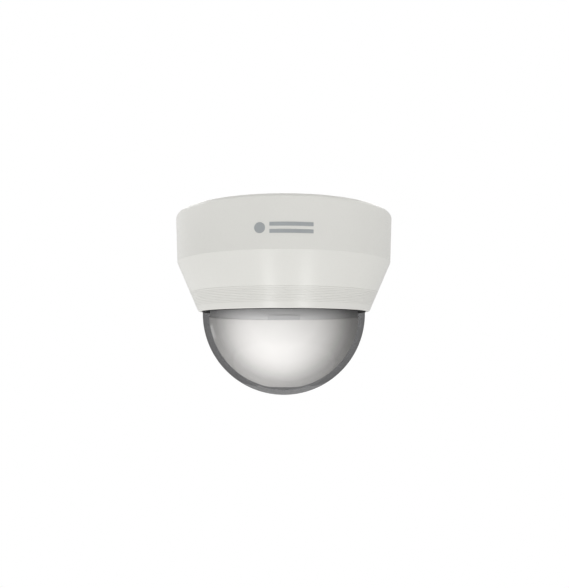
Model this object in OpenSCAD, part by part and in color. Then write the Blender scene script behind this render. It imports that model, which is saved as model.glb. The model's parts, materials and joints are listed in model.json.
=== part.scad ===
// Dome surveillance camera for a ceiling: cover, smoked bubble and three-axis camera module.
// Millimetres. The origin is the centre of the mounting face, +Z points up into the ceiling,
// and the front of the cover faces -Y. Heights are given as drops below the ceiling.

/* [Cover] */
// Outer diameter of the cover beside the ceiling
cover_d = 137; // [136:0.5:140]
// Rounding of the cover's upper edge
cover_edge_r = 2.9; // [2.5:0.1:3.5]
// Diameter of the cover where its wall bends into the cone
bend_d = 134.8; // [134.4:0.1:136]
// Drop from the ceiling to the bend
bend_drop = 30.1; // [29:0.1:31]
// Outer diameter of the lip around the bubble
lip_d = 108.4; // [108.2:0.1:109.4]
// Drop from the ceiling to the lip
lip_drop = 60.4; // [60.2:0.1:60.8]
// Wall thickness of the cover
cover_wall = 2.4; // [2:0.1:2.5]
// Drop from the ceiling to the top of the ribbed trim ring
trim_drop = 48.6; // [48.2:0.1:49]
// Number of ribs on the trim ring
rib_count = 9; // [6:1:12]
// Depth of the grooves between the ribs
rib_depth = 0.12; // [0.1:0.01:0.4]

/* [Bubble] */
// Outer diameter of the bubble
bubble_d = 102.8; // [102.6:0.1:103]
// Drop from the ceiling to the bubble's centre
bubble_drop = 61.2; // [61:0.1:61.4]
// Wall thickness of the bubble
bubble_wall = 2; // [1.6:0.1:2.2]

/* [Ceiling plate] */
// Diameter of the ceiling plate
plate_d = 124; // [123:0.1:124.2]
// Thickness of the ceiling plate
plate_t = 3; // [2.5:0.1:3.2]
// Diameter of the cable entry
cable_entry_d = 25; // [20:1:28]
// Number of ceiling screws
ceiling_screw_count = 3; // [3:1:3]
// Diameter of the circle of ceiling screws
ceiling_pcd = 108; // [107:0.5:109]
// Diameter of each ceiling screw hole
ceiling_hole_d = 4.8; // [4:0.1:5.2]

/* [Camera module] */
// Diameter of the circuit board
board_d = 94; // [93:0.5:95]
// Drop from the ceiling to the board's upper face
board_drop = 9; // [8.5:0.1:9.2]
// Drop from the ceiling to the chassis ring
chassis_drop = 26; // [25.8:0.1:26.2]
// Radius of the inner liner dome
liner_r = 47.5; // [47:0.1:47.8]
// Tilt of the liner's rim, lower at the front
liner_slope = 4.4; // [3:0.1:5]
// Radius of the camera head
head_r = 17.2; // [16.8:0.1:17.4]
// Distance from the tilt axis to the front of the lens
lens_reach = 43; // [42.6:0.1:43.2]

/* [Hidden] */
$fn = 96;

// How far a cut reaches past a face
eps = 0.5;
over = 1;
past = 2;

// Small gaps between parts
hairline = 0.02;
run_gap = 0.05;
screw_gap = 0.05;
hole_gap = 0.1;
tip_gap = 0.3;
short_tip_gap = 0.2;
trim_hole_gap = 0.15;

// Depths, widths and heights of small details
clip_notch = 2;
hook_lip = 0.8;
terminal_screw_h = 2;
wire_hole_h = 5;
terminal_screw_sunk = 0.4;
slot_w = 0.6;
slot_deep = 1;
button_gap = 0.1;
rim_reach = 5;
slot_end_depth = 10;
plug_h = 2;
grip_start = 6;
grip_margin = 1.5;

// Cover, trim ring and bubble
cover_r = cover_d / 2;
bend_r = bend_d / 2;
lip_r = lip_d / 2;
cone_slope = (bend_r - lip_r) / (lip_drop - bend_drop);
function cone_r(drop) = bend_r - cone_slope * (drop - bend_drop);
function wall_r(drop) =
    cover_r - (cover_r - bend_r) * (drop - cover_edge_r) / (bend_drop - cover_edge_r);
mouth_r = plate_d / 2 + 0.35;
shelf_t = 2;
shelf_drop = trim_drop - shelf_t;
bubble_r = bubble_d / 2;
bubble_in_r = bubble_r - bubble_wall;
flange_r = bubble_r + 2.5;
flange_t = 1.6;
ledge_drop = lip_drop - 3.3;
flange_drop = ledge_drop - flange_t;
ledge_r = bubble_r + 0.4;
gasket_t = 1;
gasket_in_r = bubble_r + 0.7;
gasket_out_r = flange_r - 0.1;
spigot_drop = flange_drop - gasket_t;
spigot_in_r = bubble_r + 0.5;
spigot_out_r = flange_r - 0.9;
trim_bore_r = flange_r + 0.4;
trim_wall = 2.2;
trim_bore_drop = bend_drop + (bend_r - trim_bore_r - trim_wall) / cone_slope;
lip_round = 0.5;
trim_break = 0.15;
rib_start = trim_drop + 0.9;
rib_pitch = (lip_drop - 3.1 - rib_start) / rib_count;
rib_land = 0.58 * rib_pitch;
rib_flank = 0.1 * rib_pitch;
trim_screw_count = 6;
trim_screw_r = flange_r + 1.5;
trim_boss_r = 2;
trim_boss_drop = trim_drop + 5.8;
trim_screw_drop = trim_drop + 4.4;
trim_shank_r = 1;
trim_head_r = 2;
trim_head_h = 1.4;

// Front mark: one dot and two bars
mark_drop = 18.7;
mark_h = 5.8;
mark_t = 0.12;
mark_w = 31.4;
mark_dot_x = 2.9 - mark_w / 2;
mark_bar_x = mark_dot_x + 5.2;
mark_bar_h = 2;

// Clips and their catches
clip_angles = [30, 150, 270];
clip_w = 10;
clip_in_r = 60.2;
clip_out_r = 61.4;
clip_tip_r = 64.4;
clip_foot_r = 55.4;
clip_foot_t = 1.2;
hook_top = 13.6;
hook_bottom = 16.8;
clip_bottom = 17.4;
catch_in_r = 62.9;
catch_top = 11;
catch_bottom = 13.3;
catch_w = 12;

// Ceiling plate
plate_r = plate_d / 2;
rim_out_r = 61;
rim_in_r = 59.6;
rim_drop = 7;
boss_angles = [45, 135, 225, 315];
boss_ring_r = 42;
boss_r = 3.4;
boss_bore_top = 3.6;

// Board pillars, chassis ring and screws
board_r = board_d / 2;
board_t = 1.6;
under_board = board_drop + board_t;
pillar_r = 2.9;
stud_r = 1.25;
stud_top = 4.2;
board_hole_r = 1.5;
pillar_bore_top = chassis_drop - 6;
chassis_t = 1.8;
chassis_out_r = 46;
turn_hole_r = 37;
under_chassis = chassis_drop + chassis_t;
chassis_shank_top = chassis_drop - 4.5;
chassis_head_r = 2.2;
chassis_head_h = 1.4;

// Parts on the board
chip_x = -15;
chip_y = -13;
chip_w = 14;
chip_h = 1.6;
sink_w = 18;
sink_base = 1.5;
sink_h = 8.4;
fin_count = 7;
fin_t = 1;
jack_x = 8;
jack_y0 = 31;
jack_y1 = 45.5;
jack_h = 11.8;
socket_x = 5.9;
socket_y0 = 33.5;
socket_top = 12.4;
socket_bottom = 20.6;
latch_x = 2.2;
latch_bottom = 21.5;
terminal_x = 6;
terminal_y0 = -45;
terminal_y1 = -36;
terminal_h = 10;
wire_hole_r = 1.6;
wire_pitch = 5;
wire_hole_drop = under_board + 4.2;
terminal_screw_r = 1.5;
card_x0 = 32.5;
card_l = 15;
card_w = 11;
card_t = 1;
card_top = 11.05;
card_socket_x0 = 31;
card_socket_x1 = 45.5;
card_socket_w = 14;
card_socket_h = 2.2;
card_side_gap = 0.1;
card_flat_gap = 0.05;
reset_x = 22;
reset_y = -34;
reset_w = 6;
reset_h = 3.5;
reset_button_r = 1.6;
reset_top = 13.6;
reset_bottom = 14.9;
reset_travel = 0.3;
small_chips = [[12, -18, 10, 10, 1.4], [-17, 14, 12, 8, 1.2], [15, 14, 8, 8, 1.2], [14, -2, 5, 7, 1]];
capacitors = [[26, -20, 3.2, 7], [30, -12, 2.5, 5.5], [-2, -29, 2.5, 5.5], [18, 26, 2, 4.5]];
connectors = [[-38, -6, 6, 10, 5], [-38, 8, 6, 8, 5], [0, 0, 8, 8, 2.4]];

// Turntable
turn_flange_r = 38.7;
felt_t = 0.6;
felt_in_r = 37.2;
felt_out_r = 38.6;
turn_flange_t = 1.5;
turn_top = chassis_drop - felt_t - turn_flange_t;
turn_bottom = under_chassis + 0.1;
turn_cable_r = 8;
retainer_t = 1.5;
retainer_in_r = 31;
retainer_out_r = 38.6;
under_retainer = turn_bottom + retainer_t;
retainer_ring_r = 34.5;
retainer_shank_r = 0.9;
retainer_shank_top = turn_top + 0.8;
retainer_head_r = 1.8;
retainer_head_h = 1.2;

// Yoke and tilt ring
tilt_drop = bubble_drop;
yoke_in_x = 26.2;
yoke_out_x = 28.2;
yoke_half_w = 8;
yoke_foot_x = 14;
yoke_foot_t = 2;
under_foot = turn_bottom + yoke_foot_t;
yoke_screw_x = 18;
yoke_screw_y = 5;
yoke_screw_top = turn_top + 0.6;
yoke_shank_r = 1;
yoke_head_r = 1.9;
yoke_head_h = 1.4;
ring_gap = 0.05;
ring_in_r = head_r + ring_gap;
ring_out_r = 21.5;
ring_half_h = 5;
ring_boss_r = 4.5;
washer_r = 6;
washer_t = 0.6;
ring_boss_x = yoke_in_x - washer_t;
trunnion_r = 3;
trunnion_x = 29.2;
trunnion_bore_r = 1.6;
clip_ring_r = 5;
clip_ring_x0 = 28.4;
clip_ring_x1 = 29;
knob_x0 = 29.4;
knob_x1 = 34;
knob_r = 6;
knob_stud_r = 1.5;
knob_stud_x = 23;
knob_grooves = 16;
knob_groove_r = 0.7;

// Sensor cable, in four pieces that meet flat on the joint axes
cable_r = 1.6;
inner_cable_r = 1.35;
bend_ball = 0.2;
cable_joint_gap = 0.05;
pan_joint_drop = 20;
pan_cable_drop = 32.4;
pan_cable_x = -31.6;
arm_window_r = 2.4;
tilt_joint_x = -29.6;
tilt_cable_x = -23.6;
tilt_cable_drop = tilt_drop - 19.4;
head_joint_drop = tilt_drop - 17.4;
tilt_boss_hole_r = 1.7;
flange_notch_r = 3;

// Liner
liner_in_r = liner_r - 1.3;
collar_out_r = 46.9;
collar_in_r = 45.6;
collar_top = 33.5;
collar_flange_t = 1.5;
under_flange = collar_top + collar_flange_t;
liner_mid_drop = 63.2;
liner_post_angles = [30, 150, 270];
liner_post_r = 3;
liner_shank_r = 0.9;
liner_head_r = 1.9;
liner_head_h = 1.4;
slot_half_w = 12.5;
tongue_angles = [30, 150, 270];
tongue_in_r = 44.3;
tongue_out_r = 45.5;
tongue_w = 8;
tongue_top = tilt_drop - 1;
tongue_bottom = tilt_drop + 10.3;
tab_w = 18;
tab_out_r = 47.2;
tab_top = 64.2;
tab_bottom = 66.6;

// Camera head
housing_in_r = head_r - 2;
housing_top = tilt_drop - 16.4;
housing_bottom = tilt_drop + 7.6;
housing_floor_t = 2;
housing_hole_r = 9.2;
shoulder_r = 19.2;
shoulder_top = tilt_drop - 7.1;
shoulder_bottom = tilt_drop - ring_half_h - 0.1;
head_clip_r = 19;
head_clip_top = tilt_drop + ring_half_h + 0.1;
head_clip_t = 1.2;
sensor_board_r = 15;
sensor_board_top = tilt_drop - 13.4;
sensor_board_t = 1.6;
under_sensor_board = sensor_board_top + sensor_board_t;
post_y = 12.8;
post_r = 1.9;
sensor_shank_r = 0.8;
sensor_head_r = 1.6;
sensor_head_h = 1.1;
sensor_shank_drop = tilt_drop - 6.4;
chip_size = [9, 8, 1.6];
lens_mount_x = 11;
lens_mount_y = 8.5;
lens_mount_bottom = tilt_drop - 2;
sensor_well = 12;
sensor_well_bottom = tilt_drop - 8.2;
filter_slot_y = 6;
filter_slot_top = tilt_drop - 7.7;
filter_slot_bottom = tilt_drop - 6.1;
filter_gap = 0.2;
filter_x0 = -10.8;
filter_x1 = 3.8;
filter_step = 7;
filter_window_r = 3;
lens_thread_r = 5.9;
lens_thread_top = tilt_drop - 5.6;
lens_body_r = 9;
lens_body_top = tilt_drop - 0.4;
lens_body_bottom = tilt_drop + 11.1;
lens_tube_r = 8;
lens_bore_r = 5;
bell_r = 10.6;
bell_top = tilt_drop + 35.1;
bell_in_r = 9.2;
lens_front = tilt_drop + lens_reach;
bell_seat = lens_front - 5;
front_glass_r = 9.1;
front_glass_sag_r = 20;
front_glass_vertex = lens_front - 0.9;
front_glass_back = lens_front - 4.9;
inner_glass_r = 4.95;
inner_glass_drops = [
    [tilt_drop - 4.8, tilt_drop - 2.4],
    [tilt_drop + 7.6, tilt_drop + 10.6],
    [tilt_drop + 25.6, tilt_drop + 28.6]
];
motor_x0 = 3;
motor_x1 = 8.5;
motor_y0 = -12.2;
motor_top = tilt_drop - 9.9;
motor_bottom = tilt_drop - 3.9;

// Lens rings
lens_ring_in_r = lens_tube_r + run_gap;
lens_ring_r = 11.6;
zoom_top = tilt_drop + 11.8;
zoom_bottom = tilt_drop + 22.4;
focus_top = tilt_drop + 23;
focus_bottom = tilt_drop + 34.5;
grip_count = 30;
grip_r = 0.45;
lever_r = 1.2;
lever_tip_r = 15;
lever_head_r = 1.9;
lever_head_l = 2;

// Solid round between two drops
module drum(r, from, to) {
    translate([0, 0, -to]) cylinder(r = r, h = to - from);
}

// Ring between two drops
module tube(out_r, in_r, from, to) {
    difference() {
        drum(out_r, from, to);
        drum(in_r, from - eps, to + eps);
    }
}

// Box between two drops
module block(x0, x1, y0, y1, from, to) {
    translate([x0, y0, -to]) cube([x1 - x0, y1 - y0, to - from]);
}

// Round bar along X at a drop
module x_bar(r, x0, x1, drop) {
    translate([x0, 0, -drop]) rotate([0, 90, 0]) cylinder(r = r, h = x1 - x0);
}

// Copies at the listed angles, moved out to a radius
module around(angles, r) {
    for (a = angles) rotate([0, 0, a]) translate([r, 0, 0]) children();
}

// Copies evenly spaced on a circle
module evenly(count, r, start = 0) {
    for (i = [0 : count - 1]) rotate([0, 0, start + i * 360 / count]) translate([r, 0, 0]) children();
}

// Screw with its head below its shank
module screw(shank_r, head_r, head_h, from, seat) {
    difference() {
        union() {
            drum(shank_r, from, seat);
            drum(head_r, seat, seat + head_h);
        }
        translate([0, 0, -seat - head_h - eps]) cylinder(r = head_r / 2, h = head_h / 2 + eps, $fn = 6);
    }
}

// Everything below the liner's sloping rim
module below_rim(reach) {
    translate([0, 0, -liner_mid_drop]) rotate([liner_slope, 0, 0])
        translate([-reach, -reach, -2 * reach]) cube([2 * reach, 2 * reach, 2 * reach]);
}

module base_plate() {
    color("WhiteSmoke") difference() {
        union() {
            drum(plate_r, 0, plate_t);
            difference() {
                tube(rim_out_r, rim_in_r, plate_t - eps, rim_drop);
                around(clip_angles, 0)
                    block(rim_in_r - clip_notch, plate_r, -clip_w, clip_w, plate_t, rim_drop + eps);
            }
            around(boss_angles, boss_ring_r) drum(boss_r, plate_t - eps, board_drop);
        }
        drum(cable_entry_d / 2, -eps, plate_t + eps);
        evenly(ceiling_screw_count, ceiling_pcd / 2, 90) drum(ceiling_hole_d / 2, -eps, plate_t + eps);
        around(boss_angles, boss_ring_r) drum(stud_r + screw_gap, boss_bore_top, board_drop + eps);
    }
}

module cover_clips() {
    color("Silver") around(clip_angles, 0) union() {
        block(clip_foot_r, clip_out_r, -clip_w / 2, clip_w / 2, plate_t, plate_t + clip_foot_t);
        block(clip_in_r, clip_out_r, -clip_w / 2, clip_w / 2, plate_t, clip_bottom);
        translate([0, clip_w / 2, 0]) rotate([90, 0, 0]) linear_extrude(clip_w)
            polygon([
                [clip_in_r + eps, -hook_top],
                [clip_tip_r, -hook_top],
                [clip_tip_r, -hook_top - hook_lip],
                [clip_out_r, -hook_bottom],
                [clip_in_r + eps, -hook_bottom]
            ]);
    }
}

module board_pillars() {
    color("Gold") around(boss_angles, boss_ring_r) difference() {
        union() {
            translate([0, 0, -chassis_drop])
                cylinder(r = pillar_r, h = chassis_drop - under_board, $fn = 6);
            drum(stud_r, stud_top, under_board + eps);
        }
        drum(stud_r + screw_gap, pillar_bore_top, chassis_drop + eps);
    }
}

module main_board() {
    color("DarkGreen") difference() {
        drum(board_r, board_drop, under_board);
        around(boss_angles, boss_ring_r) drum(board_hole_r, board_drop - eps, under_board + eps);
    }
}

module processor() {
    color("DimGray") translate([chip_x, chip_y, 0])
        block(-chip_w / 2, chip_w / 2, -chip_w / 2, chip_w / 2, under_board, under_board + chip_h);
}

module heat_sink() {
    half = sink_w / 2;
    base_top = under_board + chip_h;
    pitch = (sink_w - fin_t) / (fin_count - 1);
    color("Silver") translate([chip_x, chip_y, 0]) union() {
        block(-half, half, -half, half, base_top, base_top + sink_base);
        for (i = [0 : fin_count - 1]) {
            block(-half + i * pitch, -half + i * pitch + fin_t, -half, half,
                base_top + sink_base / 2, base_top + sink_h);
        }
    }
}

module board_chips() {
    color("DimGray") for (c = small_chips) translate([c[0], c[1], 0])
        block(-c[2] / 2, c[2] / 2, -c[3] / 2, c[3] / 2, under_board, under_board + c[4]);
}

module board_capacitors() {
    color("SlateGray") for (c = capacitors) translate([c[0], c[1], 0])
        drum(c[2], under_board, under_board + c[3]);
}

module board_connectors() {
    color("Ivory") for (c = connectors) translate([c[0], c[1], 0])
        block(-c[2] / 2, c[2] / 2, -c[3] / 2, c[3] / 2, under_board, under_board + c[4]);
}

module network_jack() {
    color("Silver") difference() {
        block(-jack_x, jack_x, jack_y0, jack_y1, under_board, under_board + jack_h);
        block(-socket_x, socket_x, socket_y0, jack_y1 + eps, socket_top, socket_bottom);
        block(-latch_x, latch_x, socket_y0, jack_y1 + eps, socket_bottom - eps, latch_bottom);
    }
}

module power_terminal() {
    seat = under_board + terminal_h;
    color("SeaGreen") difference() {
        block(-terminal_x, terminal_x, terminal_y0, terminal_y1, under_board, seat);
        for (side = [-1, 1]) {
            translate([side * wire_pitch / 2, terminal_y0 + wire_hole_h, -wire_hole_drop]) rotate([90, 0, 0])
                cylinder(r = wire_hole_r, h = wire_hole_h + eps);
            translate([side * wire_pitch / 2, (terminal_y0 + terminal_y1) / 2, 0])
                drum(terminal_screw_r + screw_gap, seat - terminal_screw_h, seat + eps);
        }
    }
}

module terminal_screws() {
    seat = under_board + terminal_h;
    color("Silver") for (side = [-1, 1])
        translate([side * wire_pitch / 2, (terminal_y0 + terminal_y1) / 2, 0]) difference() {
            drum(terminal_screw_r, seat - terminal_screw_h, seat - terminal_screw_sunk);
            block(-terminal_screw_r, terminal_screw_r, -slot_w / 2, slot_w / 2, seat - slot_deep, seat);
        }
}

module card_socket() {
    color("Silver") difference() {
        block(card_socket_x0, card_socket_x1, -card_socket_w / 2, card_socket_w / 2,
            under_board, under_board + card_socket_h);
        block(card_x0 - eps, card_socket_x1 + eps, -card_w / 2 - card_side_gap, card_w / 2 + card_side_gap,
            card_top - card_flat_gap, card_top + card_t + card_flat_gap);
    }
}

module memory_card() {
    color("Black") block(card_x0, card_x0 + card_l, -card_w / 2, card_w / 2, card_top, card_top + card_t);
}

module reset_switch() {
    half = reset_w / 2;
    color("DimGray") translate([reset_x, reset_y, 0]) difference() {
        block(-half, half, -half, half, under_board, under_board + reset_h);
        drum(reset_button_r + button_gap, reset_top - reset_travel - button_gap,
            under_board + reset_h + eps);
    }
}

module reset_button() {
    color("Black") translate([reset_x, reset_y, 0]) drum(reset_button_r, reset_top, reset_bottom);
}

module chassis_ring() {
    color("Silver") difference() {
        tube(chassis_out_r, turn_hole_r, chassis_drop, under_chassis);
        around(boss_angles, boss_ring_r) drum(board_hole_r, chassis_drop - eps, under_chassis + eps);
    }
}

module chassis_screws() {
    color("Silver") around(boss_angles, boss_ring_r)
        screw(stud_r, chassis_head_r, chassis_head_h, chassis_shank_top, under_chassis);
}

module friction_ring() {
    color("DimGray") tube(felt_out_r, felt_in_r, chassis_drop - felt_t, chassis_drop);
}

module fixed_cable() {
    color("DimGray") drum(cable_r, under_board + connectors[2][4], pan_joint_drop - cable_joint_gap);
}

module cover_section() {
    difference() {
        union() {
            polygon([
                [0, 0],
                [cover_r - cover_edge_r, 0],
                [cover_r - cover_edge_r, -cover_edge_r],
                [cover_r, -cover_edge_r],
                [bend_r, -bend_drop],
                [cone_r(trim_drop), -trim_drop],
                [spigot_out_r, -trim_drop],
                [spigot_out_r, -spigot_drop],
                [0, -spigot_drop]
            ]);
            intersection() {
                translate([cover_r - cover_edge_r, -cover_edge_r]) circle(r = cover_edge_r);
                translate([cover_r - cover_edge_r, -cover_edge_r]) square(cover_edge_r);
            }
        }
        polygon([
            [-over, over],
            [mouth_r, over],
            [mouth_r, -cover_wall],
            [cover_r - cover_wall, -cover_wall],
            [bend_r - cover_wall, -bend_drop],
            [cone_r(shelf_drop) - cover_wall, -shelf_drop],
            [spigot_in_r, -shelf_drop],
            [spigot_in_r, -spigot_drop - over],
            [-over, -spigot_drop - over]
        ]);
    }
}

module cover_shell() {
    color("WhiteSmoke") difference() {
        union() {
            rotate_extrude() cover_section();
            around(clip_angles, 0) block(catch_in_r, cover_r - cover_wall + eps, -catch_w / 2, catch_w / 2,
                catch_top, catch_bottom);
        }
        evenly(trim_screw_count, trim_screw_r)
            drum(trim_shank_r + trim_hole_gap, shelf_drop - eps, trim_drop + eps);
    }
}

// Outline of the ribbed face, from top to bottom
rib_points = [
    for (i = [0 : rib_count - 1]) let (d = rib_start + i * rib_pitch) each [
        [cone_r(d), -d],
        [cone_r(d + rib_flank) - rib_depth, -d - rib_flank],
        [cone_r(d + rib_pitch - rib_land - rib_flank) - rib_depth, -d - rib_pitch + rib_land + rib_flank],
        [cone_r(d + rib_pitch - rib_land), -d - rib_pitch + rib_land]
    ]
];

module trim_section() {
    polygon(concat(
        [[cone_r(trim_drop) - trim_wall, -trim_drop], [cone_r(trim_drop) - trim_break, -trim_drop]],
        [[cone_r(trim_drop + trim_break), -trim_drop - trim_break]],
        rib_points,
        [[cone_r(lip_drop - lip_round), -lip_drop + lip_round], [lip_r - lip_round, -lip_drop]],
        [[ledge_r + lip_round, -lip_drop], [ledge_r, -lip_drop + lip_round]],
        [[ledge_r, -ledge_drop], [trim_bore_r, -ledge_drop], [trim_bore_r, -trim_bore_drop]]
    ));
}

module trim_ring() {
    color("WhiteSmoke") difference() {
        union() {
            rotate_extrude() trim_section();
            intersection() {
                evenly(trim_screw_count, trim_screw_r) drum(trim_boss_r, trim_drop, trim_boss_drop);
                rotate_extrude() polygon([
                    [0, -trim_drop],
                    [cone_r(trim_drop) - trim_wall / 2, -trim_drop],
                    [cone_r(lip_drop) - trim_wall / 2, -lip_drop],
                    [0, -lip_drop]
                ]);
            }
        }
        evenly(trim_screw_count, trim_screw_r)
            drum(trim_shank_r + screw_gap, trim_drop - eps, trim_screw_drop + tip_gap);
    }
}

module trim_screws() {
    color("Silver") evenly(trim_screw_count, trim_screw_r) rotate([180, 0, 0])
        translate([0, 0, 2 * shelf_drop])
        screw(trim_shank_r, trim_head_r, trim_head_h, 2 * shelf_drop - trim_screw_drop, shelf_drop);
}

module bubble() {
    color("DimGray", 0.5) rotate_extrude() union() {
        intersection() {
            difference() {
                translate([0, -bubble_drop]) circle(r = bubble_r);
                translate([0, -bubble_drop]) circle(r = bubble_in_r);
            }
            translate([0, -bubble_drop - 2 * bubble_r]) square(2 * bubble_r);
        }
        translate([bubble_in_r, -bubble_drop]) square([bubble_wall, bubble_drop - flange_drop]);
        translate([bubble_in_r + bubble_wall / 2, -ledge_drop])
            square([flange_r - bubble_in_r - bubble_wall / 2, flange_t]);
    }
}

module bubble_gasket() {
    color("DimGray") tube(gasket_out_r, gasket_in_r, spigot_drop, flange_drop);
}

module front_mark() {
    top = mark_drop - mark_h / 2;
    bottom = mark_drop + mark_h / 2;
    bar_x1 = mark_w / 2;
    color("DarkGray") intersection() {
        rotate_extrude() polygon([
            [wall_r(top - over), -top + over],
            [wall_r(top - over) + mark_t, -top + over],
            [wall_r(bottom + over) + mark_t, -bottom - over],
            [wall_r(bottom + over), -bottom - over]
        ]);
        union() {
            translate([mark_dot_x, 0, -mark_drop]) rotate([90, 0, 0])
                cylinder(r = mark_h / 2, h = cover_r + eps);
            block(mark_bar_x, bar_x1, -cover_r - eps, 0, top, top + mark_bar_h);
            block(mark_bar_x, bar_x1, -cover_r - eps, 0, bottom - mark_bar_h, bottom);
        }
    }
}

module turntable() {
    color("DimGray") difference() {
        union() {
            drum(turn_flange_r, turn_top, chassis_drop - felt_t);
            drum(turn_hole_r - run_gap, chassis_drop - felt_t - eps, turn_bottom);
        }
        drum(turn_cable_r, turn_top - eps, turn_bottom + eps);
        around(boss_angles, retainer_ring_r)
            drum(retainer_shank_r + screw_gap, retainer_shank_top - short_tip_gap, turn_bottom + eps);
        around(liner_post_angles, retainer_ring_r)
            drum(liner_shank_r + screw_gap, retainer_shank_top - short_tip_gap, turn_bottom + eps);
        for (sx = [-1, 1], sy = [-1, 1]) translate([sx * yoke_screw_x, sy * yoke_screw_y, 0])
            drum(yoke_shank_r + screw_gap, yoke_screw_top - short_tip_gap, turn_bottom + eps);
    }
}

module turntable_retainer() {
    color("Silver") difference() {
        tube(retainer_out_r, retainer_in_r, turn_bottom, under_retainer);
        around(boss_angles, retainer_ring_r)
            drum(retainer_shank_r + screw_gap, turn_bottom - eps, under_retainer + eps);
        around(liner_post_angles, retainer_ring_r)
            drum(liner_shank_r + screw_gap, turn_bottom - eps, under_retainer + eps);
    }
}

module retainer_screws() {
    color("Silver") around(boss_angles, retainer_ring_r)
        screw(retainer_shank_r, retainer_head_r, retainer_head_h, retainer_shank_top, under_retainer);
}

// One arm of the yoke, on the +X side
module yoke_arm() {
    union() {
        block(yoke_foot_x, yoke_out_x, -yoke_half_w, yoke_half_w, turn_bottom, under_foot);
        block(yoke_in_x, yoke_out_x, -yoke_half_w, yoke_half_w, turn_bottom, tilt_drop);
        x_bar(yoke_half_w, yoke_in_x, yoke_out_x, tilt_drop);
    }
}

module yoke_holes() {
    x_bar(trunnion_r + run_gap, yoke_in_x - eps, yoke_out_x + eps, tilt_drop);
    for (sy = [-1, 1]) translate([yoke_screw_x, sy * yoke_screw_y, 0])
        drum(yoke_shank_r + hole_gap, turn_bottom - eps, under_foot + eps);
}

module yoke_right() {
    color("Silver") difference() {
        yoke_arm();
        yoke_holes();
    }
}

module yoke_left() {
    color("Silver") mirror([1, 0, 0]) difference() {
        yoke_arm();
        yoke_holes();
        x_bar(arm_window_r, yoke_in_x - eps, yoke_out_x + eps, pan_cable_drop);
    }
}

module yoke_screws() {
    color("Silver") for (sx = [-1, 1], sy = [-1, 1]) translate([sx * yoke_screw_x, sy * yoke_screw_y, 0])
        screw(yoke_shank_r, yoke_head_r, yoke_head_h, yoke_screw_top, under_foot);
}

module liner_carrier() {
    color("Gainsboro") difference() {
        union() {
            tube(collar_out_r, retainer_in_r, collar_top, under_flange);
            around(liner_post_angles, retainer_ring_r) drum(liner_post_r, under_retainer, collar_top + eps);
        }
        around(liner_post_angles, retainer_ring_r)
            drum(liner_shank_r + hole_gap, under_retainer - eps, under_flange + eps);
        translate([pan_cable_x, 0, 0]) drum(flange_notch_r, collar_top - eps, under_flange + eps);
    }
}

module liner_collar() {
    color("Gainsboro") difference() {
        tube(collar_out_r, collar_in_r, under_flange, liner_mid_drop + rim_reach);
        below_rim(2 * liner_r);
    }
}

module collar_tab() {
    color("DarkGray") intersection() {
        tube(tab_out_r, collar_out_r, tab_top, tab_bottom);
        block(-tab_w / 2, tab_w / 2, -tab_out_r - eps, 0, tab_top - eps, tab_bottom + eps);
    }
}

module liner_dome() {
    color("White") difference() {
        union() {
            intersection() {
                difference() {
                    translate([0, 0, -tilt_drop]) sphere(r = liner_r);
                    translate([0, 0, -tilt_drop]) sphere(r = liner_in_r);
                }
                below_rim(2 * liner_r);
            }
            intersection() {
                tube(tongue_out_r, tongue_in_r, tongue_top, tongue_bottom);
                around(tongue_angles, 0) block(tongue_in_r - past, tongue_out_r + past, -tongue_w / 2, tongue_w / 2,
                    tongue_top - eps, tongue_bottom + eps);
            }
        }
        drum(slot_half_w, tilt_drop + liner_in_r - slot_end_depth, tilt_drop + liner_r + eps);
        block(-slot_half_w, slot_half_w, 0, liner_r + eps, tilt_drop, tilt_drop + liner_r + eps);
    }
}

module liner_screws() {
    color("Silver") around(liner_post_angles, retainer_ring_r)
        screw(liner_shank_r, liner_head_r, liner_head_h, retainer_shank_top, under_flange);
}

module tilt_washers() {
    color("Ivory") for (side = [0, 1]) mirror([side, 0, 0]) difference() {
        x_bar(washer_r, ring_boss_x, yoke_in_x, tilt_drop);
        x_bar(trunnion_r + run_gap, ring_boss_x - eps, yoke_in_x + eps, tilt_drop);
    }
}

module pan_cable() {
    ball = cable_r + bend_ball;
    color("DimGray") union() {
        drum(cable_r, pan_joint_drop, pan_cable_drop);
        translate([0, 0, -pan_cable_drop]) sphere(r = ball);
        x_bar(cable_r, pan_cable_x, 0, pan_cable_drop);
        translate([pan_cable_x, 0, -pan_cable_drop]) sphere(r = ball);
        translate([pan_cable_x, 0, 0]) drum(cable_r, pan_cable_drop, tilt_drop);
        translate([pan_cable_x, 0, -tilt_drop]) sphere(r = ball);
        x_bar(inner_cable_r, pan_cable_x, tilt_joint_x, tilt_drop);
    }
}

module tilt_ring() {
    color("Silver") difference() {
        union() {
            drum(ring_out_r, tilt_drop - ring_half_h, tilt_drop + ring_half_h);
            x_bar(ring_boss_r, -ring_boss_x, ring_boss_x, tilt_drop);
            x_bar(trunnion_r, -trunnion_x, trunnion_x, tilt_drop);
        }
        drum(ring_in_r, tilt_drop - ring_half_h - eps, tilt_drop + ring_half_h + eps);
        x_bar(trunnion_bore_r, -trunnion_x - eps, tilt_cable_x + trunnion_bore_r, tilt_drop);
        translate([tilt_cable_x, 0, 0]) drum(tilt_boss_hole_r, tilt_drop - ring_boss_r - eps, tilt_drop);
        x_bar(knob_stud_r + run_gap, knob_stud_x, trunnion_x + eps, tilt_drop);
    }
}

module trunnion_clip() {
    color("Silver") mirror([1, 0, 0]) difference() {
        x_bar(clip_ring_r, clip_ring_x0, clip_ring_x1, tilt_drop);
        x_bar(trunnion_r + screw_gap, clip_ring_x0 - eps, clip_ring_x1 + eps, tilt_drop);
    }
}

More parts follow.
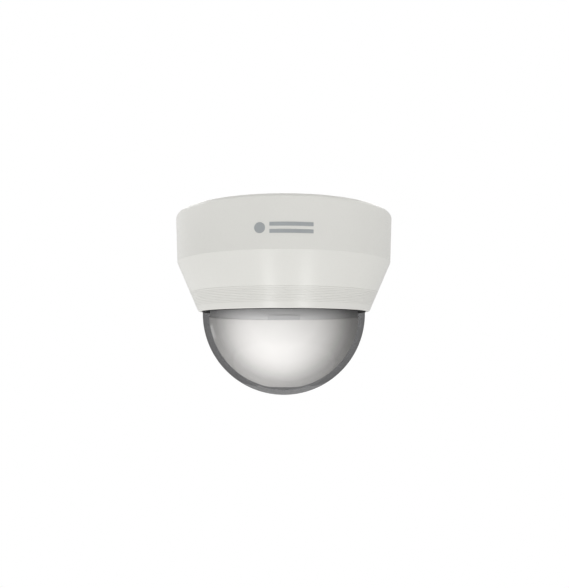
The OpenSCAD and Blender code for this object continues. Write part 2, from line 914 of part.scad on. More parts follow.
module tilt_cable() {
    ball = inner_cable_r + bend_ball;
    color("DimGray") union() {
        x_bar(inner_cable_r, tilt_joint_x + cable_joint_gap, tilt_cable_x, tilt_drop);
        translate([tilt_cable_x, 0, -tilt_drop]) sphere(r = ball);
        translate([tilt_cable_x, 0, 0]) drum(inner_cable_r, tilt_cable_drop, tilt_drop);
        translate([tilt_cable_x, 0, -tilt_cable_drop]) sphere(r = ball);
        x_bar(inner_cable_r, tilt_cable_x, 0, tilt_cable_drop);
        translate([0, 0, -tilt_cable_drop]) sphere(r = ball);
        drum(inner_cable_r, tilt_cable_drop, head_joint_drop);
    }
}

module tilt_knob() {
    color("Black") difference() {
        union() {
            x_bar(knob_r, knob_x0, knob_x1, tilt_drop);
            x_bar(knob_stud_r, knob_stud_x + eps, knob_x0 + eps, tilt_drop);
        }
        for (i = [0 : knob_grooves - 1]) translate([0, 0, -tilt_drop]) rotate([i * 360 / knob_grooves, 0, 0])
            translate([knob_x0 - eps, 0, knob_r]) rotate([0, 90, 0])
            cylinder(r = knob_groove_r, h = knob_x1 - knob_x0 + 2 * eps);
    }
}

module head_housing() {
    color("DimGray") difference() {
        union() {
            drum(head_r, housing_top, housing_bottom);
            drum(shoulder_r, shoulder_top, shoulder_bottom);
        }
        difference() {
            drum(housing_in_r, housing_top - eps, housing_bottom - housing_floor_t);
            for (side = [-1, 1]) translate([0, side * post_y, 0])
                drum(post_r, under_sensor_board, housing_bottom);
        }
        for (side = [-1, 1]) translate([0, side * post_y, 0])
            drum(sensor_shank_r + screw_gap, under_sensor_board - eps, sensor_shank_drop + tip_gap);
        drum(housing_hole_r, housing_bottom - housing_floor_t - eps, housing_bottom + eps);
    }
}

module head_clip() {
    color("Silver") tube(head_clip_r, head_r + hairline, head_clip_top, head_clip_top + head_clip_t);
}

module sensor_board() {
    color("DarkGreen") difference() {
        drum(sensor_board_r, sensor_board_top, under_sensor_board);
        for (side = [-1, 1]) translate([0, side * post_y, 0])
            drum(sensor_shank_r + hole_gap, sensor_board_top - eps, under_sensor_board + eps);
    }
}

module image_sensor() {
    color("Black") block(-chip_size[0] / 2, chip_size[0] / 2, -chip_size[1] / 2, chip_size[1] / 2,
        under_sensor_board, under_sensor_board + chip_size[2]);
}

module sensor_screws() {
    color("Silver") for (side = [-1, 1]) translate([0, side * post_y, 0]) rotate([180, 0, 0])
        translate([0, 0, 2 * sensor_board_top])
        screw(sensor_shank_r, sensor_head_r, sensor_head_h,
            2 * sensor_board_top - sensor_shank_drop, sensor_board_top);
}

module lens_mount() {
    half_well = sensor_well / 2;
    color("Black") difference() {
        block(-lens_mount_x, lens_mount_x, -lens_mount_y, lens_mount_y,
            under_sensor_board, lens_mount_bottom);
        block(-half_well, half_well, -half_well, half_well,
            under_sensor_board - eps, sensor_well_bottom);
        block(-lens_mount_x - eps, lens_mount_x + eps, -filter_slot_y, filter_slot_y,
            filter_slot_top, filter_slot_bottom);
        drum(filter_window_r, sensor_well_bottom - eps, filter_slot_top + eps);
        drum(lens_thread_r + screw_gap, filter_slot_bottom - eps, lens_mount_bottom + eps);
    }
}

module filter_motor() {
    color("Peru") block(motor_x0, motor_x1, motor_y0, -lens_mount_y, motor_top, motor_bottom);
}

module filter_slide() {
    color("DimGray") difference() {
        block(filter_x0, filter_x1, -filter_slot_y + filter_gap, filter_slot_y - filter_gap,
            filter_slot_top + filter_gap, filter_slot_bottom - filter_gap);
        for (i = [0, 1]) translate([-i * filter_step, 0, 0])
            drum(filter_window_r, filter_slot_top, filter_slot_bottom);
    }
}

module filter_glass() {
    color("LightCyan", 0.5) for (i = [0, 1]) translate([-i * filter_step, 0, 0])
        drum(filter_window_r - hairline, filter_slot_top + 2 * filter_gap,
            filter_slot_bottom - 2 * filter_gap);
}

module lens_barrel() {
    color("Black") difference() {
        union() {
            drum(lens_thread_r, lens_thread_top, lens_body_top + eps);
            drum(lens_body_r, lens_body_top, lens_body_bottom);
            drum(lens_tube_r, lens_body_bottom - eps, bell_top + eps);
            drum(bell_r, bell_top, lens_front);
        }
        drum(lens_bore_r, lens_thread_top - eps, lens_front);
        drum(bell_in_r, bell_seat, lens_front + eps);
    }
}

module front_element() {
    color("LightCyan", 0.5) intersection() {
        drum(front_glass_r, front_glass_back, lens_front);
        translate([0, 0, -front_glass_vertex + front_glass_sag_r]) sphere(r = front_glass_sag_r);
    }
}

module inner_elements() {
    color("LightCyan", 0.5) for (d = inner_glass_drops) drum(inner_glass_r, d[0], d[1]);
}

module head_cable() {
    plug = 3.5;
    plug_top = sensor_board_top - plug_h;
    color("DimGray") union() {
        drum(inner_cable_r, head_joint_drop + cable_joint_gap, plug_top + eps);
        block(-plug, plug, -plug, plug, plug_top, sensor_board_top);
    }
}

// Grip ring of the lens between two drops
module grip_ring(from, to) {
    difference() {
        tube(lens_ring_r, lens_ring_in_r, from, to);
        evenly(grip_count, lens_ring_r, grip_start) drum(grip_r, from + grip_margin, to - grip_margin);
    }
}

// Thumb pin that stands out of a grip ring
module ring_pin(drop, angle) {
    rotate([0, 0, angle]) union() {
        x_bar(lever_r, lens_ring_r - grip_r, lever_tip_r, drop);
        x_bar(lever_head_r, lever_tip_r - lever_head_l, lever_tip_r, drop);
    }
}

module pin_hole(drop, angle) {
    rotate([0, 0, angle]) x_bar(lever_r + screw_gap, lens_ring_r - grip_r, lens_ring_r + eps, drop);
}

module zoom_ring() {
    color("Black") difference() {
        grip_ring(zoom_top, zoom_bottom);
        pin_hole((zoom_top + zoom_bottom) / 2, 0);
    }
}

module zoom_lever() {
    color("Silver") ring_pin((zoom_top + zoom_bottom) / 2, 0);
}

module focus_ring() {
    color("Black") difference() {
        grip_ring(focus_top, focus_bottom);
        pin_hole((focus_top + focus_bottom) / 2, 180);
    }
}

module focus_lever() {
    color("Silver") ring_pin((focus_top + focus_bottom) / 2, 180);
}

base_plate();
cover_clips();
board_pillars();
main_board();
processor();
heat_sink();
board_chips();
board_capacitors();
board_connectors();
network_jack();
power_terminal();
terminal_screws();
card_socket();
reset_switch();
chassis_ring();
chassis_screws();
friction_ring();
fixed_cable();
cover_shell();
trim_ring();
trim_screws();
bubble();
bubble_gasket();
front_mark();
turntable();
turntable_retainer();
retainer_screws();
yoke_left();
yoke_right();
yoke_screws();
liner_carrier();
liner_collar();
collar_tab();
liner_dome();
liner_screws();
tilt_washers();
pan_cable();
tilt_ring();
trunnion_clip();
tilt_cable();
tilt_knob();
head_housing();
head_clip();
sensor_board();
image_sensor();
sensor_screws();
lens_mount();
filter_motor();
lens_barrel();
front_element();
inner_elements();
head_cable();
zoom_ring();
zoom_lever();
focus_ring();
focus_lever();
filter_slide();
filter_glass();
memory_card();
reset_button();
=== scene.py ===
"""Looks for the ceiling dome camera: finishes, small added pieces, studio and camera."""
import json
import math

import bmesh
import bpy
from mathutils import Matrix, Vector


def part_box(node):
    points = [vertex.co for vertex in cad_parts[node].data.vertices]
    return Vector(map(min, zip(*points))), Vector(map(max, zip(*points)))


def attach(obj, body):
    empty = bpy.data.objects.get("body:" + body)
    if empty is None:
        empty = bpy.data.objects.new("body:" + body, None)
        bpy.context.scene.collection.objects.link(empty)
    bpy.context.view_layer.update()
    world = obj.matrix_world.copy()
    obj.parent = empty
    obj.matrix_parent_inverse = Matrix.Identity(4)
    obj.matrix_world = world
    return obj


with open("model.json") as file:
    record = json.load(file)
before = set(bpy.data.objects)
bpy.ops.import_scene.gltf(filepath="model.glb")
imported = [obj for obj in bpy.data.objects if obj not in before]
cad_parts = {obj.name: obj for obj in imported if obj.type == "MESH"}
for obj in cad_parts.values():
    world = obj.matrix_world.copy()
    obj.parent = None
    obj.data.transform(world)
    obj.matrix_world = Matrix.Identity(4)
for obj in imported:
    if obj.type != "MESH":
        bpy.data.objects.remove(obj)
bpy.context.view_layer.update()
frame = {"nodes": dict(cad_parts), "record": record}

NODES = frame["nodes"]
MM = 0.001

# The bubble's centre, which is the tilt axis's height, and the middle of its wall
TILT_Z = -61.2 * MM
BUBBLE_R = 51.4 * MM
BUBBLE_MID_R = 50.4 * MM
# The visible band of the collar, over which its painted shade from the lip fades out
COLLAR_TOP_Z = -60.6 * MM
COLLAR_FOOT_Z = -66.6 * MM
# Light that the smoked bubble lets through, from face on to its outline
SMOKE_STOPS = ((0.0, 1.0), (0.10, 0.95), (0.20, 0.80), (0.35, 0.55),
               (0.47, 0.41), (0.60, 0.39), (0.75, 0.36), (1.0, 0.30))
# Gloss of the bubble, face on and at its outline
BUBBLE_GLOSS = (0.035, 0.20)


# ---------------------------------------------------------------- materials

def new_material(name):
    """A material with an empty tree and an output; returns (material, nodes, links, output)."""
    mat = bpy.data.materials.new(name)
    mat.use_nodes = True
    tree = mat.node_tree
    tree.nodes.clear()
    out = tree.nodes.new("ShaderNodeOutputMaterial")
    return mat, tree.nodes, tree.links, out


def object_coords(nodes, links, scale=(1.0, 1.0, 1.0)):
    """Object coordinates, scaled; returns the vector socket."""
    coord = nodes.new("ShaderNodeTexCoord")
    mapping = nodes.new("ShaderNodeMapping")
    mapping.inputs["Scale"].default_value = scale
    links.new(coord.outputs["Object"], mapping.inputs["Vector"])
    return mapping.outputs["Vector"]


def noise(nodes, links, vector, scale, detail=4.0, rough=0.5):
    tex = nodes.new("ShaderNodeTexNoise")
    tex.inputs["Scale"].default_value = scale
    tex.inputs["Detail"].default_value = detail
    tex.inputs["Roughness"].default_value = rough
    links.new(vector, tex.inputs["Vector"])
    return tex.outputs["Fac"]


def remap(nodes, links, value, low, high, from_low=0.3, from_high=0.7):
    node = nodes.new("ShaderNodeMapRange")
    node.inputs["From Min"].default_value = from_low
    node.inputs["From Max"].default_value = from_high
    node.inputs["To Min"].default_value = low
    node.inputs["To Max"].default_value = high
    links.new(value, node.inputs["Value"])
    return node.outputs["Result"]


def mix_colour(nodes, links, fac, a, b):
    """Colour a where fac is 0, b where it is 1; a and b are colours or sockets."""
    node = nodes.new("ShaderNodeMix")
    node.data_type = "RGBA"
    links.new(fac, node.inputs["Factor"])
    for value, socket in ((a, node.inputs["A"]), (b, node.inputs["B"])):
        if isinstance(value, bpy.types.NodeSocket):
            links.new(value, socket)
        else:
            socket.default_value = (*value, 1.0)
    return node.outputs["Result"]


def bump(nodes, links, height, strength, distance):
    node = nodes.new("ShaderNodeBump")
    node.inputs["Strength"].default_value = strength
    node.inputs["Distance"].default_value = distance
    links.new(height, node.inputs["Height"])
    return node.outputs["Normal"]


def surface(name, colour, rough=(0.4, 0.5), metallic=0.0, tone=0.06, mottle=60.0, grain=1800.0,
            grain_depth=0.00002, stretch=(1.0, 1.0, 1.0), specular=0.5, coat=0.0):
    """A solid finish: two close tones over a soft mottle, uneven roughness and a fine grain."""
    mat, nodes, links, out = new_material(name)
    shader = nodes.new("ShaderNodeBsdfPrincipled")
    vector = object_coords(nodes, links, stretch)
    soft = noise(nodes, links, vector, mottle, 5.0, 0.55)
    fine = noise(nodes, links, vector, grain, 3.0, 0.6)
    dark = tuple(c * (1.0 - tone) for c in colour)
    light = tuple(min(1.0, c * (1.0 + tone * 0.6)) for c in colour)
    links.new(mix_colour(nodes, links, remap(nodes, links, soft, 0.0, 1.0), dark, light),
              shader.inputs["Base Color"])
    links.new(remap(nodes, links, fine, rough[0], rough[1]), shader.inputs["Roughness"])
    links.new(bump(nodes, links, fine, 0.35, grain_depth), shader.inputs["Normal"])
    shader.inputs["Metallic"].default_value = metallic
    shader.inputs["Specular IOR Level"].default_value = specular
    shader.inputs["Coat Weight"].default_value = coat
    links.new(shader.outputs["BSDF"], out.inputs["Surface"])
    return mat


def bubble_material(name):
    """Smoked clear plastic: nearly clear face on and dark towards its outline.
    The tint and the gloss belong to the outer face; the inner face lets everything through."""
    mat, nodes, links, out = new_material(name)
    coord = nodes.new("ShaderNodeTexCoord")
    from_centre = nodes.new("ShaderNodeVectorMath")
    from_centre.operation = "SUBTRACT"
    from_centre.inputs[1].default_value = (0.0, 0.0, TILT_Z)
    links.new(coord.outputs["Object"], from_centre.inputs[0])
    below = nodes.new("ShaderNodeVectorMath")
    below.operation = "MINIMUM"
    below.inputs[1].default_value = (1.0, 1.0, 0.0)
    links.new(from_centre.outputs["Vector"], below.inputs[0])
    radius = nodes.new("ShaderNodeVectorMath")
    radius.operation = "LENGTH"
    links.new(below.outputs["Vector"], radius.inputs[0])
    outer = nodes.new("ShaderNodeMath")
    outer.operation = "GREATER_THAN"
    outer.inputs[1].default_value = BUBBLE_MID_R
    links.new(radius.outputs["Value"], outer.inputs[0])

    weight = nodes.new("ShaderNodeLayerWeight")
    weight.inputs["Blend"].default_value = 0.5
    ramp = nodes.new("ShaderNodeValToRGB")
    elements = ramp.color_ramp.elements
    while len(elements) < len(SMOKE_STOPS):
        elements.new(0.5)
    for element, (position, level) in zip(elements, SMOKE_STOPS):
        element.position = position
        element.color = (level, level, level * 1.01, 1.0)
    links.new(weight.outputs["Facing"], ramp.inputs["Fac"])
    clear = nodes.new("ShaderNodeBsdfTransparent")
    tint = mix_colour(nodes, links, outer.outputs["Value"], (1.0, 1.0, 1.0), ramp.outputs["Color"])
    links.new(tint, clear.inputs["Color"])

    haze = noise(nodes, links, coord.outputs["Object"], 90.0, 3.0)
    gloss = nodes.new("ShaderNodeBsdfGlossy")
    links.new(remap(nodes, links, haze, 0.02, 0.06), gloss.inputs["Roughness"])
    slant = nodes.new("ShaderNodeMath")
    slant.operation = "POWER"
    slant.inputs[1].default_value = 3.0
    links.new(weight.outputs["Facing"], slant.inputs[0])
    strength = remap(nodes, links, slant.outputs["Value"], *BUBBLE_GLOSS, 0.0, 1.0)
    on_outer = nodes.new("ShaderNodeMath")
    on_outer.operation = "MULTIPLY"
    links.new(strength, on_outer.inputs[0])
    links.new(outer.outputs["Value"], on_outer.inputs[1])
    mix = nodes.new("ShaderNodeMixShader")
    links.new(on_outer.outputs["Value"], mix.inputs["Fac"])
    links.new(clear.outputs["BSDF"], mix.inputs[1])
    links.new(gloss.outputs["BSDF"], mix.inputs[2])
    links.new(mix.outputs["Shader"], out.inputs["Surface"])
    return mat


def glass_material(name, tint, coating):
    """Lens glass: clear with a coloured coating that shows more strongly at a slant."""
    mat, nodes, links, out = new_material(name)
    weight = nodes.new("ShaderNodeLayerWeight")
    weight.inputs["Blend"].default_value = 0.4
    vector = object_coords(nodes, links)
    patch = noise(nodes, links, vector, 140.0, 3.0)
    clear = nodes.new("ShaderNodeBsdfTransparent")
    clear.inputs["Color"].default_value = (*tint, 1.0)
    gloss = nodes.new("ShaderNodeBsdfGlossy")
    shine = mix_colour(nodes, links, weight.outputs["Facing"], coating, (0.9, 0.92, 1.0))
    links.new(shine, gloss.inputs["Color"])
    links.new(remap(nodes, links, patch, 0.01, 0.04), gloss.inputs["Roughness"])
    mix = nodes.new("ShaderNodeMixShader")
    links.new(remap(nodes, links, weight.outputs["Facing"], 0.18, 0.8, 0.0, 1.0), mix.inputs["Fac"])
    links.new(clear.outputs["BSDF"], mix.inputs[1])
    links.new(gloss.outputs["BSDF"], mix.inputs[2])
    links.new(mix.outputs["Shader"], out.inputs["Surface"])
    return mat


def collar_painted_shade_material(name):
    """Matt grey with a painted shade of the lip: darkest at the top of the visible band, paling to its foot.
    """
    mat, nodes, links, out = new_material(name)
    shader = nodes.new("ShaderNodeBsdfPrincipled")
    coord = nodes.new("ShaderNodeTexCoord")
    axes = nodes.new("ShaderNodeSeparateXYZ")
    links.new(coord.outputs["Object"], axes.inputs["Vector"])
    # Painted shade: the lip's shadow, dark at the band's top and gone at its foot
    depth = remap(nodes, links, axes.outputs["Z"], 1.0, 0.0, COLLAR_FOOT_Z, COLLAR_TOP_Z)
    grain = noise(nodes, links, coord.outputs["Object"], 1800.0, 3.0)
    links.new(mix_colour(nodes, links, depth, (0.46, 0.457, 0.45), (0.86, 0.855, 0.84)),
              shader.inputs["Base Color"])
    links.new(remap(nodes, links, grain, 0.55, 0.7), shader.inputs["Roughness"])
    links.new(bump(nodes, links, grain, 0.35, 0.00002), shader.inputs["Normal"])
    links.new(shader.outputs["BSDF"], out.inputs["Surface"])
    return mat


def board_material(name):
    """Green solder mask with faint copper tracks under it."""
    mat, nodes, links, out = new_material(name)
    shader = nodes.new("ShaderNodeBsdfPrincipled")
    vector = object_coords(nodes, links)
    tracks = nodes.new("ShaderNodeTexBrick")
    tracks.inputs["Scale"].default_value = 260.0
    tracks.inputs["Mortar Size"].default_value = 0.03
    tracks.inputs["Color1"].default_value = (0.012, 0.10, 0.045, 1.0)
    tracks.inputs["Color2"].default_value = (0.016, 0.13, 0.055, 1.0)
    tracks.inputs["Mortar"].default_value = (0.05, 0.26, 0.10, 1.0)
    links.new(vector, tracks.inputs["Vector"])
    soft = noise(nodes, links, vector, 400.0, 3.0)
    colour = mix_colour(nodes, links, remap(nodes, links, soft, 0.0, 0.5), tracks.outputs["Color"],
                        (0.02, 0.15, 0.06))
    links.new(colour, shader.inputs["Base Color"])
    links.new(remap(nodes, links, soft, 0.22, 0.34), shader.inputs["Roughness"])
    links.new(bump(nodes, links, tracks.outputs["Fac"], 0.25, 0.00005), shader.inputs["Normal"])
    shader.inputs["Coat Weight"].default_value = 0.3
    links.new(shader.outputs["BSDF"], out.inputs["Surface"])
    return mat


FINISHES = {
    "cover_white": surface("cover_white", (0.70, 0.697, 0.667), (0.26, 0.31), tone=0.012, mottle=35.0,
                           grain=2600.0, grain_depth=0.000006, specular=0.3),
    "trim_white": surface("trim_white", (0.672, 0.668, 0.64), (0.27, 0.33), tone=0.012, mottle=35.0,
                          grain=2600.0, grain_depth=0.000006, specular=0.3),
    "mark_grey": surface("mark_grey", (0.34, 0.36, 0.37), (0.45, 0.55), tone=0.05),
    "bubble_smoke": bubble_material("bubble_smoke"),
    "gasket_rubber": surface("gasket_rubber", (0.03, 0.03, 0.03), (0.7, 0.85)),
    "liner_white": surface("liner_white", (0.92, 0.905, 0.87), (0.55, 0.7), tone=0.01),
    "collar_grey": collar_painted_shade_material("collar_grey"),
    "tab_grey": surface("tab_grey", (0.66, 0.657, 0.65), (0.55, 0.7), tone=0.03),
    "plate_white": surface("plate_white", (0.74, 0.73, 0.70), (0.45, 0.6), tone=0.03),
    "clip_steel": surface("clip_steel", (0.60, 0.60, 0.59), (0.22, 0.38), metallic=1.0, tone=0.10,
                          grain=900.0, stretch=(1.0, 1.0, 9.0)),
    "screw_steel": surface("screw_steel", (0.66, 0.65, 0.63), (0.25, 0.42), metallic=1.0, tone=0.12),
    "bracket_steel": surface("bracket_steel", (0.55, 0.56, 0.57), (0.30, 0.48), metallic=1.0, tone=0.10,
                             grain=700.0, stretch=(1.0, 8.0, 1.0)),
    "pillar_brass": surface("pillar_brass", (0.75, 0.56, 0.26), (0.22, 0.40), metallic=1.0, tone=0.12),
    "board_green": board_material("board_green"),
    "chip_black": surface("chip_black", (0.028, 0.028, 0.030), (0.45, 0.62), tone=0.2),
    "sink_aluminium": surface("sink_aluminium", (0.62, 0.63, 0.65), (0.32, 0.46), metallic=1.0, tone=0.08,
                              stretch=(1.0, 7.0, 1.0)),
    "cap_aluminium": surface("cap_aluminium", (0.42, 0.43, 0.47), (0.24, 0.36), metallic=1.0, tone=0.10),
    "connector_ivory": surface("connector_ivory", (0.80, 0.76, 0.64), (0.40, 0.55)),
    "jack_steel": surface("jack_steel", (0.68, 0.68, 0.67), (0.20, 0.34), metallic=1.0, tone=0.10,
                          stretch=(6.0, 1.0, 1.0)),
    "terminal_green": surface("terminal_green", (0.03, 0.30, 0.11), (0.40, 0.55)),
    "frame_aluminium": surface("frame_aluminium", (0.58, 0.59, 0.60), (0.38, 0.55), metallic=1.0, tone=0.10,
                               grain=1300.0, grain_depth=0.00003),
    "felt_grey": surface("felt_grey", (0.16, 0.16, 0.17), (0.85, 0.98), tone=0.25, grain=3000.0,
                         grain_depth=0.0001),
    "cable_black": surface("cable_black", (0.025, 0.025, 0.027), (0.50, 0.65), tone=0.2),
    "turntable_black": surface("turntable_black", (0.045, 0.045, 0.048), (0.45, 0.60), tone=0.15),
    "head_black": surface("head_black", (0.030, 0.030, 0.033), (0.42, 0.58), tone=0.15),
    "knob_black": surface("knob_black", (0.028, 0.028, 0.028), (0.48, 0.64), tone=0.15),
    "washer_nylon": surface("washer_nylon", (0.82, 0.81, 0.74), (0.38, 0.52)),
    "sensor_dark": surface("sensor_dark", (0.03, 0.022, 0.05), (0.06, 0.14), tone=0.4, coat=0.8),
    "coil_copper": surface("coil_copper", (0.56, 0.26, 0.12), (0.30, 0.45), metallic=0.9, tone=0.25,
                           grain=1500.0, stretch=(1.0, 1.0, 12.0)),
    "lens_black": surface("lens_black", (0.018, 0.018, 0.020), (0.34, 0.50), tone=0.15, grain=2200.0),
    "lens_glass": glass_material("lens_glass", (0.86, 0.90, 0.96), (0.32, 0.22, 0.62)),
    "card_black": surface("card_black", (0.022, 0.022, 0.024), (0.40, 0.55), tone=0.2),
    "button_black": surface("button_black", (0.05, 0.05, 0.05), (0.45, 0.60), tone=0.15),
}

for part in frame["record"]["subparts"]:
    obj = NODES[part["node"]]
    obj.data.materials.clear()
    obj.data.materials.append(FINISHES[part["material_slot"]])


# ---------------------------------------------------------------- pieces

# Arcs of the board, in degrees, that are free of larger parts
PART_ARCS = ((108, 126), (146, 158), (202, 214), (236, 250), (332, 342))
PART_STEP = 3.0
PART_RADII = (36.6 * MM, 39.2 * MM, 41.8 * MM)
# The dark seal at the lip, a gasket that also serves as a painted shadow of the gap under the lip: its gap
# to the bubble, thickness, reach below and above the lip, and corners
SEAL_GAP = 0.03 * MM
SEAL_T = 0.33 * MM
SEAL_BELOW = 0.35 * MM
SEAL_ABOVE = 1.6 * MM
SEAL_CORNER = 0.12 * MM
SEAL_STEPS = 180
# Chip resistors: body, tinned end, the ends' distance from the middle, and depth below the board
RESISTOR = (1.0 * MM, 0.8 * MM, 0.44 * MM)
RESISTOR_END = (0.34 * MM, 0.84 * MM, 0.47 * MM)
RESISTOR_END_X = 0.62 * MM
RESISTOR_DROP = 0.24 * MM
# Ticks on the lens rings, with every fourth one long
TICKS = 17
LONG_TICK_EVERY = 4
LONG_TICK = 1.6 * MM
SHORT_TICK = 0.9 * MM
TICK_RISE = 1.4 * MM
TICK_PROUD = 0.01 * MM
TICK_W = 0.10 * MM
TICK_T = 0.16 * MM
TICK_EDGE = 0.02 * MM
RING_MARK_START = 40.0
RING_MARK_STEP = 5.0
# The network jack's contacts
CONTACTS = 8
CONTACT_PITCH = 1.02 * MM
CONTACT = (0.35 * MM, 7.0 * MM, 0.20 * MM)
CONTACT_IN = 6.0 * MM
CONTACT_DOWN = 3.2 * MM
CONTACT_EDGE = 0.05 * MM


def add_piece(name, bm, body, slot, smooth=True):
    """A finished mesh piece that rides on a body and takes a record slot's finish."""
    mesh = bpy.data.meshes.new(name)
    bmesh.ops.recalc_face_normals(bm, faces=bm.faces)
    bm.to_mesh(mesh)
    bm.free()
    for polygon in mesh.polygons:
        polygon.use_smooth = smooth
    mesh.materials.append(FINISHES[slot])
    obj = bpy.data.objects.new(name, mesh)
    bpy.context.scene.collection.objects.link(obj)
    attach(obj, body)


def lathe(bm, profile, steps):
    """A closed ring: the (radius, height) profile turned about Z."""
    rings = []
    for step in range(steps):
        angle = 2.0 * math.pi * step / steps
        rings.append([bm.verts.new((r * math.cos(angle), r * math.sin(angle), z)) for r, z in profile])
    for step in range(steps):
        here, there = rings[step], rings[(step + 1) % steps]
        for k in range(len(profile)):
            following = (k + 1) % len(profile)
            bm.faces.new((here[k], here[following], there[following], there[k]))


def round_profile(r0, r1, z0, z1, corner, steps=4):
    """A rectangle with rounded corners as (radius, height) points."""
    points = []
    for centre_r, centre_z, start in ((r1 - corner, z1 - corner, 0.0), (r0 + corner, z1 - corner, 90.0),
                                      (r0 + corner, z0 + corner, 180.0), (r1 - corner, z0 + corner, 270.0)):
        for k in range(steps + 1):
            angle = math.radians(start + 90.0 * k / steps)
            points.append((centre_r + corner * math.cos(angle), centre_z + corner * math.sin(angle)))
    return points


def build_seal_and_painted_shadow():
    """The thin dark seal between the trim ring's lip and the bubble: a gasket, and also a painted shadow of
    the dark gap under the lip.
    """
    lip_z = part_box("trim_ring")[0][2]
    bm = bmesh.new()
    profile = round_profile(BUBBLE_R + SEAL_GAP, BUBBLE_R + SEAL_GAP + SEAL_T, lip_z - SEAL_BELOW,
                            lip_z + SEAL_ABOVE, SEAL_CORNER)
    lathe(bm, profile, SEAL_STEPS)
    # Painted shadow: the dark rubber also stands for the shade in the gap under the lip
    add_piece("seal_and_painted_shadow", bm, "cover", "gasket_rubber")


def bevelled_block(bm, size, centre, turn=0.0, bevel=0.08 * MM):
    """A small box with rounded edges, turned about Z; joined into bm."""
    block = bmesh.ops.create_cube(bm, size=1.0)["verts"]
    bmesh.ops.scale(bm, vec=size, verts=block)
    edges = list({edge for vert in block for edge in vert.link_edges})
    shaped = bmesh.ops.bevel(bm, geom=edges, offset=bevel, segments=2, profile=0.6, affect="EDGES")
    corners = list({vert for face in shaped["faces"] for vert in face.verts}
                   | {vert for vert in block if vert.is_valid})
    bmesh.ops.rotate(bm, cent=(0.0, 0.0, 0.0), matrix=Matrix.Rotation(turn, 3, "Z"), verts=corners)
    bmesh.ops.translate(bm, vec=centre, verts=corners)


def build_board_parts():
    """Rows of chip resistors round the main board's underside, with tinned ends."""
    face_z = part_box("main_board")[0][2]
    bodies, ends = bmesh.new(), bmesh.new()
    for start, stop in PART_ARCS:
        count = int((stop - start) / PART_STEP) + 1
        for k in range(count):
            angle = math.radians(start + PART_STEP * k)
            for radius in PART_RADII:
                centre = Vector((radius * math.cos(angle), radius * math.sin(angle), face_z - RESISTOR_DROP))
                along = Vector((math.cos(angle), math.sin(angle), 0.0))
                bevelled_block(bodies, RESISTOR, centre, angle)
                for side in (-1, 1):
                    bevelled_block(ends, RESISTOR_END, centre + side * RESISTOR_END_X * along, angle)
    add_piece("board_resistors", bodies, "ceiling_plate", "chip_black", smooth=False)
    add_piece("board_resistor_ends", ends, "ceiling_plate", "screw_steel", smooth=False)


def build_ring_marks():
    """Fine painted ticks round the front edge of the zoom and focus rings."""
    for node, body in (("zoom_ring", "zoom_control"), ("focus_ring", "focus_control")):
        low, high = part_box(node)
        z = low[2] + TICK_RISE
        bm = bmesh.new()
        for k in range(TICKS):
            angle = math.radians(RING_MARK_START + RING_MARK_STEP * k)
            radius = high[1] + TICK_PROUD
            length = LONG_TICK if k % LONG_TICK_EVERY == 0 else SHORT_TICK
            bevelled_block(bm, (TICK_W, TICK_T, length),
                           (radius * math.cos(angle), radius * math.sin(angle), z), angle, TICK_EDGE)
        add_piece(f"{node}_ticks", bm, body, "washer_nylon", smooth=False)


def build_jack_contacts():
    """Eight sprung contacts in the network jack."""
    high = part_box("network_jack")[1]
    bm = bmesh.new()
    for k in range(CONTACTS):
        x = (k - (CONTACTS - 1) / 2) * CONTACT_PITCH
        bevelled_block(bm, CONTACT, (x, high[1] - CONTACT_IN, high[2] - CONTACT_DOWN), 0.0, CONTACT_EDGE)
    add_piece("jack_contacts", bm, "ceiling_plate", "pillar_brass", smooth=False)


build_seal_and_painted_shadow()
build_board_parts()
build_ring_marks()
build_jack_contacts()


# ---------------------------------------------------------------- studio

# Rings of softboxes round the shell: (azimuth in degrees, power in watts), with distance and size in metres
FILL_POWERS = ((0, 0.25), (60, 0.55), (120, 0.9), (180, 1.0), (240, 1.6), (300, 0.55))
FILL_ELEVATION = -2
FILL_DISTANCE = 0.9
FILL_SIZE = (1.0, 1.0)
TOP_POWERS = ((0, 0.12), (60, 0.11), (120, 0.13), (180, 0.13), (240, 0.15), (300, 0.12))
TOP_ELEVATION = 42
TOP_DISTANCE = 0.30
TOP_SIZE = (0.30, 0.08)
# Other softboxes: name, (azimuth, elevation), distance, width, height, power, what it lights
LAMPS = (
    ("shell_below", (0, -90), 0.50, 0.50, 0.50, 0.38, "shell"),
    ("inside_low", (-12, -63), 0.50, 0.35, 0.35, 1.85, "inside"),
    ("inside_front", (-2, -24), 0.62, 0.35, 0.35, 0.75, "inside"),
    ("inside_top", (-4, 50), 0.62, 0.30, 0.50, 2.40, "inside"),
    ("inside_left", (-70, -25), 0.62, 0.35, 0.35, 1.30, "inside"),
    ("strip_left", (-19, -46), 0.60, 0.03, 0.22, 0.80, "shell"),
    ("strip_right", (28, -46), 0.60, 0.06, 0.22, 0.90, "shell"),
    ("strip_side", (-104, -46), 0.60, 0.06, 0.22, 0.60, "shell"),
    ("floor_light", (0, 80), 0.80, 1.20, 1.20, 7.50, "floor"),
    ("rim_low", (180, -36), 0.55, 0.30, 0.26, 0.25, "bubble"),
    ("spark", (-119, -12), 0.60, 0.07, 0.10, 0.06, "bubble"),
)
FLOOR_R = 0.68
FLOOR_Z = -0.62
# The viewpoint: lens in mm, frame shift, place in metres, upward pitch in radians
CAMERA_LENS = 34.44
CAMERA_SHIFT = (0.0011, 0.00085)
CAMERA_PLACE = (0.0, -0.360, -0.0755)
CAMERA_PITCH = 0.073

def look_at(obj, target):
    direction = Vector(target) - obj.location
    obj.rotation_euler = direction.to_track_quat("-Z", "Y").to_euler()


def lit_group(name, nodes):
    """A collection of CAD nodes that some lamps are kept to, as flags do in a studio."""
    group = bpy.data.collections.new(name)
    for node in nodes:
        group.objects.link(NODES[node])
    return group


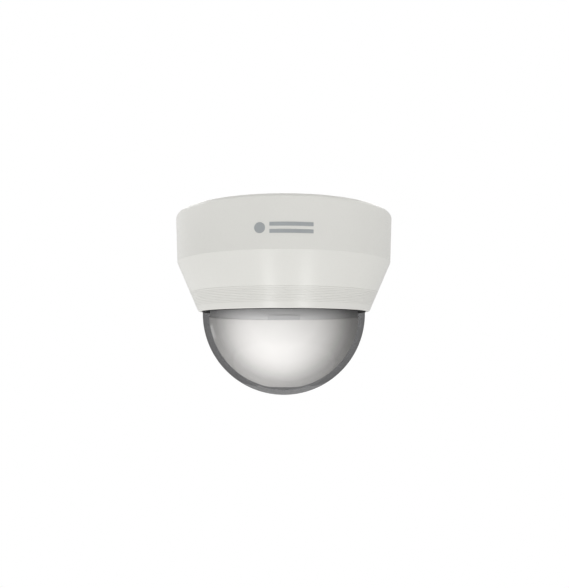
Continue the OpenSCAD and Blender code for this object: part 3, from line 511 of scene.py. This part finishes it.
def softbox(name, direction, distance, width, height, power, group):
    """An area lamp that faces the object's middle from a direction given as azimuth, elevation in degrees.
    Azimuth 0 is the front, the camera's side, and grows to the right."""
    azimuth, elevation = (math.radians(a) for a in direction)
    lamp = bpy.data.lights.new(name, "AREA")
    lamp.shape = "RECTANGLE"
    lamp.size, lamp.size_y = width, height
    lamp.energy = power
    obj = bpy.data.objects.new(name, lamp)
    centre = Vector((0.0, 0.0, TILT_Z))
    obj.location = centre + distance * Vector((math.sin(azimuth) * math.cos(elevation),
                                               -math.cos(azimuth) * math.cos(elevation),
                                               math.sin(elevation)))
    look_at(obj, centre)
    obj.visible_camera = False
    obj.light_linking.receiver_collection = group
    bpy.context.scene.collection.objects.link(obj)


def build_world():
    world = bpy.data.worlds.new("studio")
    bpy.context.scene.world = world
    world.use_nodes = True
    nodes, links = world.node_tree.nodes, world.node_tree.links
    nodes.clear()
    out = nodes.new("ShaderNodeOutputWorld")
    seen = nodes.new("ShaderNodeBackground")
    seen.inputs["Color"].default_value = (1.0, 1.0, 1.0, 1.0)
    seen.inputs["Strength"].default_value = 1.0
    fill = nodes.new("ShaderNodeBackground")
    fill.inputs["Color"].default_value = (1.0, 0.995, 0.985, 1.0)
    fill.inputs["Strength"].default_value = 0.42
    path = nodes.new("ShaderNodeLightPath")
    mix = nodes.new("ShaderNodeMixShader")
    links.new(path.outputs["Is Camera Ray"], mix.inputs["Fac"])
    links.new(fill.outputs["Background"], mix.inputs[1])
    links.new(seen.outputs["Background"], mix.inputs[2])
    links.new(mix.outputs["Shader"], out.inputs["Surface"])


def build_floor():
    """A pale round floor well below the hanging camera."""
    mesh = bpy.data.meshes.new("studio_floor")
    bm = bmesh.new()
    bmesh.ops.create_circle(bm, cap_ends=True, segments=96, radius=FLOOR_R)
    bm.to_mesh(mesh)
    bm.free()
    floor = bpy.data.objects.new("studio_floor", mesh)
    floor.location = (0.0, 0.0, FLOOR_Z)
    pale = surface("floor_pale", (0.86, 0.86, 0.85), (0.7, 0.85), tone=0.01, mottle=3.0, grain=60.0)
    mesh.materials.append(pale)
    bpy.context.scene.collection.objects.link(floor)
    return floor


def build_camera():
    """The photograph's viewpoint: straight in front, just under the cover, looking slightly up."""
    data = bpy.data.cameras.new("camera")
    data.sensor_width = 36.0
    data.lens = CAMERA_LENS
    data.shift_x = CAMERA_SHIFT[0]
    data.shift_y = CAMERA_SHIFT[1]
    data.clip_start = 0.01
    cam = bpy.data.objects.new("camera", data)
    cam.location = CAMERA_PLACE
    cam.rotation_euler = (math.pi / 2 + CAMERA_PITCH, 0.0, 0.0)
    bpy.context.scene.collection.objects.link(cam)
    bpy.context.scene.camera = cam


build_world()
floor = build_floor()
build_camera()
SHELL_NODES = ("cover_shell", "trim_ring", "front_mark", "base_plate")
shell = lit_group("lit_shell", SHELL_NODES)
inside = lit_group("lit_inside", [n for n in NODES if n not in SHELL_NODES and n != "bubble"])
bubble_only = lit_group("lit_bubble", ["bubble"])
floor_only = lit_group("lit_floor", [])
floor_only.objects.link(floor)
for azimuth, power in FILL_POWERS:
    softbox(f"shell_fill_{azimuth}", (azimuth, FILL_ELEVATION), FILL_DISTANCE, *FILL_SIZE, power, shell)
for azimuth, power in TOP_POWERS:
    softbox(f"shell_top_{azimuth}", (azimuth, TOP_ELEVATION), TOP_DISTANCE, *TOP_SIZE, power, shell)
groups = {"shell": shell, "inside": inside, "bubble": bubble_only, "floor": floor_only}
for name, direction, distance, width, height, power, group in LAMPS:
    softbox(name, direction, distance, width, height, power, groups[group])

scene = bpy.context.scene
scene.view_settings.view_transform = "Standard"
scene.view_settings.look = "None"
